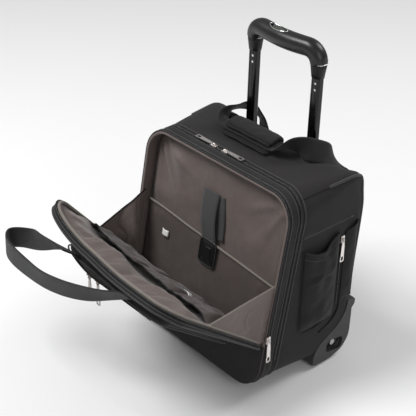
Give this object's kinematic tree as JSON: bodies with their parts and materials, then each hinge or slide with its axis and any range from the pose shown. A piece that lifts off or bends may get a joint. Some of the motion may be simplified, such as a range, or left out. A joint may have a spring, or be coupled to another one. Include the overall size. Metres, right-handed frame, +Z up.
{
  "type": "rolling pilot case",
  "caption": "Soft-sided wheeled pilot case with a fold-down laptop lid, zipped main compartment, telescopic pull handle, webbing handles and side pockets.",
  "frame": {"origin": "on the floor, at the centre of the front stand's underside, on the case's centre line", "axes": "+X to the right seen from the front, +Y to the back, +Z up"},
  "size_m": [0.4221, 0.4602, 0.5505],
  "materials": {
    "body_fabric": "black ballistic nylon weave",
    "lining": "taupe polyester lining",
    "panel_board": "fabric over board",
    "housing_plastic": "grained moulded plastic",
    "tyre_rubber": "moulded",
    "steel": "plain",
    "zip_tape": "woven tape with coil teeth",
    "webbing": "woven nylon webbing",
    "tab_rubber": "embossed patch",
    "tube_black": "black anodised, grooved",
    "grip_soft": "soft-touch",
    "collar_black": "glossy",
    "button_grey": "glossy",
    "chrome_trim": "polished",
    "nickel": "nickel plated"
  },
  "bodies": {
    "case": {"main_shell": "body_fabric", "back_board": "panel_board", "grip_tray": "panel_board", "side_pocket_right": "body_fabric", "side_pocket_left": "body_fabric", "wheel_housing_right": "housing_plastic", "wheel_housing_left": "housing_plastic", "front_stand": "housing_plastic", "handle_sleeves": "housing_plastic", "sleeve_bracket": "housing_plastic", "axle_right": "steel", "axle_left": "steel", "main_zip_case_side": "zip_tape", "side_zip_track": "zip_tape"},
    "front_section": {"laptop_frame": "body_fabric", "laptop_wall": "lining", "laptop_sleeve": "lining", "front_base_panel": "body_fabric", "main_zip_front_side": "zip_tape", "lid_zip_frame_side": "zip_tape", "gusset_right": "lining", "gusset_left": "lining"},
    "lid": {"lid_shell": "body_fabric", "lid_lining": "lining", "lid_organizer": "lining", "front_pocket": "body_fabric", "lid_zip_lid_side": "zip_tape", "front_pocket_zip": "zip_tape"},
    "sleeve_strap": {"sleeve_strap": "webbing", "strap_tab": "tab_rubber"},
    "front_handle": {"front_handle": "webbing"},
    "rear_handle": {"rear_handle_strap": "webbing", "rear_handle_wrap": "body_fabric"},
    "lower_stage": {"lower_tubes": "tube_black"},
    "middle_stage": {"middle_tubes": "tube_black"},
    "upper_stage": {"upper_tubes": "tube_black", "grip": "grip_soft", "grip_collars": "collar_black", "collar_rivets": "steel", "button_bezel": "chrome_trim"},
    "release_button": {"release_button": "button_grey"},
    "release_rods": {"release_rods": "steel"},
    "wheel_right": {"tyre_right": "tyre_rubber", "hub_right": "housing_plastic"},
    "wheel_left": {"tyre_left": "tyre_rubber", "hub_left": "housing_plastic"},
    "main_slider_right": {"main_slider_right": "nickel"},
    "main_slider_left": {"main_slider_left": "nickel"},
    "lid_slider_right": {"lid_slider_right": "nickel"},
    "lid_slider_left": {"lid_slider_left": "nickel"},
    "pocket_slider_right": {"pocket_slider_right": "nickel"},
    "pocket_slider_left": {"pocket_slider_left": "nickel"},
    "side_slider": {"side_slider": "nickel"},
    "main_pull_right": {"main_pull_right": "nickel"},
    "main_pull_left": {"main_pull_left": "nickel"},
    "lid_pull_right": {"lid_pull_right": "nickel"},
    "lid_pull_left": {"lid_pull_left": "nickel"},
    "pocket_pull_right": {"pocket_pull_right": "nickel"},
    "pocket_pull_left": {"pocket_pull_left": "nickel"},
    "side_pull": {"side_pull": "nickel"}
  },
  "joints": [
    {"name": "front_section_hinge", "type": "hinge", "parent": "case", "child": "front_section", "pos_m": [0, -0.0267, 0.018], "axis": [1, 0, 0], "range_deg": [0, 38]},
    {"name": "lid_hinge", "type": "hinge", "parent": "front_section", "child": "lid", "pos_m": [0, -0.04072, 0.106], "axis": [1, 0, 0], "range_deg": [-61.22, 0], "deforming": ["gusset_right", "gusset_left"]},
    {"name": "sleeve_strap_hinge", "type": "hinge", "parent": "front_section", "child": "sleeve_strap", "pos_m": [-0.008, 0.00715, 0.292], "axis": [-1, 0, 0], "range_deg": [0, 70]},
    {"name": "front_handle_hinge", "type": "hinge", "parent": "lid", "child": "front_handle", "pos_m": [0, -0.24908, 0.25026], "axis": [1, 0, 0], "range_deg": [-35, 0]},
    {"name": "rear_handle_hinge", "type": "hinge", "parent": "case", "child": "rear_handle", "pos_m": [-0.054, 0.163, 0.297], "axis": [0.9861, 0, 0.1663], "range_deg": [-10, 0]},
    {"name": "lower_stage_slide", "type": "slide", "parent": "case", "child": "lower_stage", "axis": [0, 0, 1], "range_m": [0, 0.225]},
    {"name": "middle_stage_slide", "type": "slide", "parent": "lower_stage", "child": "middle_stage", "axis": [0, 0, 1], "range_m": [0, 0.225]},
    {"name": "upper_stage_slide", "type": "slide", "parent": "middle_stage", "child": "upper_stage", "axis": [0, 0, 1], "range_m": [-0.185, 0.045]},
    {"name": "release_button_press", "type": "slide", "parent": "upper_stage", "child": "release_button", "axis": [0, 0, -1], "range_m": [0, 0.003], "stiffness_N_per_m": 600},
    {"name": "release_rods_slide", "type": "slide", "parent": "upper_stage", "child": "release_rods", "axis": [0, 0, -1], "range_m": [0, 0.003]},
    {"name": "wheel_right_spin", "type": "hinge", "parent": "case", "child": "wheel_right", "pos_m": [0.1515, 0.13, 0.03], "axis": [1, 0, 0], "continuous": true},
    {"name": "wheel_left_spin", "type": "hinge", "parent": "case", "child": "wheel_left", "pos_m": [-0.1515, 0.13, 0.03], "axis": [1, 0, 0], "continuous": true},
    {"name": "main_slider_right_slide", "type": "slide", "parent": "case", "child": "main_slider_right", "axis": [1, 0, 0], "range_m": [0, 0.13]},
    {"name": "main_slider_left_slide", "type": "slide", "parent": "case", "child": "main_slider_left", "axis": [-1, 0, 0], "range_m": [0, 0.09]},
    {"name": "lid_slider_right_slide", "type": "slide", "parent": "front_section", "child": "lid_slider_right", "axis": [0, 0.1601, 0.9871], "range_m": [0, 0.17]},
    {"name": "lid_slider_left_slide", "type": "slide", "parent": "front_section", "child": "lid_slider_left", "axis": [0, 0.1601, 0.9871], "range_m": [0, 0.17]},
    {"name": "pocket_slider_right_slide", "type": "slide", "parent": "lid", "child": "pocket_slider_right", "axis": [1, 0, 0], "range_m": [0, 0.115]},
    {"name": "pocket_slider_left_slide", "type": "slide", "parent": "lid", "child": "pocket_slider_left", "axis": [-1, 0, 0], "range_m": [0, 0.034]},
    {"name": "side_slider_slide", "type": "slide", "parent": "case", "child": "side_slider", "axis": [0, 0, -1], "range_m": [0, 0.118]},
    {"name": "main_pull_right_swing", "type": "hinge", "parent": "main_slider_right", "child": "main_pull_right", "pos_m": [-0.012, 0.0283, 0.3616], "axis": [0, -1, 0], "range_deg": [0, 150]},
    {"name": "main_pull_left_swing", "type": "hinge", "parent": "main_slider_left", "child": "main_pull_left", "pos_m": [-0.04, 0.0283, 0.3616], "axis": [0, 1, 0], "range_deg": [0, 150]},
    {"name": "lid_pull_right_swing", "type": "hinge", "parent": "lid_slider_right", "child": "lid_pull_right", "pos_m": [0.1761, -0.03648, 0.118], "axis": [0, -1, 0], "range_deg": [0, 150]},
    {"name": "lid_pull_left_swing", "type": "hinge", "parent": "lid_slider_left", "child": "lid_pull_left", "pos_m": [-0.1761, -0.03648, 0.118], "axis": [0, 1, 0], "range_deg": [0, 150]},
    {"name": "pocket_pull_right_swing", "type": "hinge", "parent": "pocket_slider_right", "child": "pocket_pull_right", "pos_m": [-0.03, -0.21912, 0.19905], "axis": [1, 0, 0], "range_deg": [-60, 45]},
    {"name": "pocket_pull_left_swing", "type": "hinge", "parent": "pocket_slider_left", "child": "pocket_pull_left", "pos_m": [-0.052, -0.21912, 0.19905], "axis": [1, 0, 0], "range_deg": [-60, 45]},
    {"name": "side_pull_swing", "type": "hinge", "parent": "side_slider", "child": "side_pull", "pos_m": [0.1761, 0.121, 0.246], "axis": [0, -1, 0], "range_deg": [0, 150]}
  ],
  "couplings": [
    {"joint": "release_rods_slide", "follows": "release_button_press", "ratio": 1}
  ]
}
